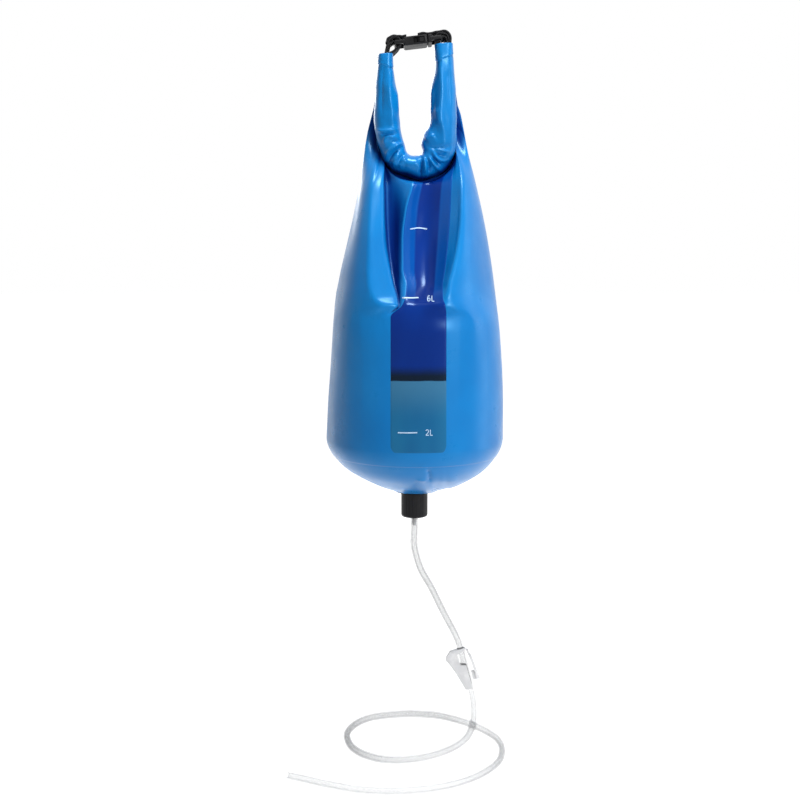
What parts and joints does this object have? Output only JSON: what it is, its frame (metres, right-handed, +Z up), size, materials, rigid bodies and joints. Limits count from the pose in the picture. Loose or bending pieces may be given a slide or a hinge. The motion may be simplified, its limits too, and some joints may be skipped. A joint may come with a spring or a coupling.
{
  "type": "gravity water filter",
  "caption": "Hanging roll-top water reservoir with a clear gauge window, buckled carry loop, inner filter cartridge, screw outlet, clear hose and pinch clamp.",
  "frame": {"origin": "middle of the buckle's underside, where a hook, branch or peg carries the hanging reservoir", "axes": "+Z up along the hanging bag, -Y out of the front with the gauge window, +X to the right of the window, towards the buckle's plug half"},
  "size_m": [0.2477, 0.2121, 0.8038],
  "materials": {
    "fabric": "glossy coated woven fabric, blue",
    "window": "clear flexible film with a blue tint",
    "stiffener": "matt",
    "webbing": "woven, matt",
    "black_plastic": "satin moulded",
    "seal_rubber": "matt",
    "filter_paper": "matt pleated sheet",
    "white_plastic": "satin moulded",
    "hose": "clear flexible tube"
  },
  "bodies": {
    "bag": {"roll_top": "fabric", "bag_wall": "fabric", "bag_base": "fabric", "back_seam_tape": "fabric", "window_panel": "window", "stiffener_strip": "stiffener", "webbing_left": "webbing", "webbing_right": "webbing", "buckle_female": "black_plastic", "buckle_male": "black_plastic", "outlet_spigot": "black_plastic", "filter_base": "black_plastic", "filter_cap": "black_plastic", "filter_oring": "seal_rubber", "filter_media": "filter_paper", "filter_core": "white_plastic", "hose_upper": "hose", "hose_pinch": "hose", "hose_lower": "hose", "clamp_base": "white_plastic"},
    "prong_front": {"prong_front": "black_plastic"},
    "prong_back": {"prong_back": "black_plastic"},
    "outlet_coupling": {"hose_tail": "black_plastic", "seal_washer": "seal_rubber"},
    "cap_nut": {"cap_nut": "black_plastic"},
    "clamp_arm": {"clamp_arm": "white_plastic"}
  },
  "joints": [
    {"name": "prong_front_squeeze", "type": "hinge", "parent": "bag", "child": "prong_front", "pos_m": [0.01387, -0.0077, 0.00636], "axis": [-0.1132, 0, 0.9936], "range_deg": [-14, 0], "stiffness_Nm_per_rad": 0.2},
    {"name": "prong_back_squeeze", "type": "hinge", "parent": "bag", "child": "prong_back", "pos_m": [0.01387, 0.0077, 0.00636], "axis": [-0.1132, 0, 0.9936], "range_deg": [0, 14], "stiffness_Nm_per_rad": 0.2},
    {"name": "cap_travel", "type": "slide", "parent": "bag", "child": "outlet_coupling", "axis": [0, 0, -1], "range_m": [0, 0.006]},
    {"name": "cap_turn", "type": "hinge", "parent": "outlet_coupling", "child": "cap_nut", "pos_m": [-0.0015, 0, -0.5], "axis": [0, 0, -1], "range_deg": [0, 720]},
    {"name": "clamp_close", "type": "hinge", "parent": "bag", "child": "clamp_arm", "pos_m": [0.06142, 0.03968, -0.68524], "axis": [0.0399, 0.9873, -0.1538], "range_deg": [0, 11], "stiffness_Nm_per_rad": 0.1, "deforming": ["hose_pinch"]}
  ],
  "couplings": [
    {"joint": "prong_back_squeeze", "follows": "prong_front_squeeze", "ratio": -1},
    {"joint": "cap_travel", "follows": "cap_turn", "m_per_rad": 0.00047746}
  ]
}
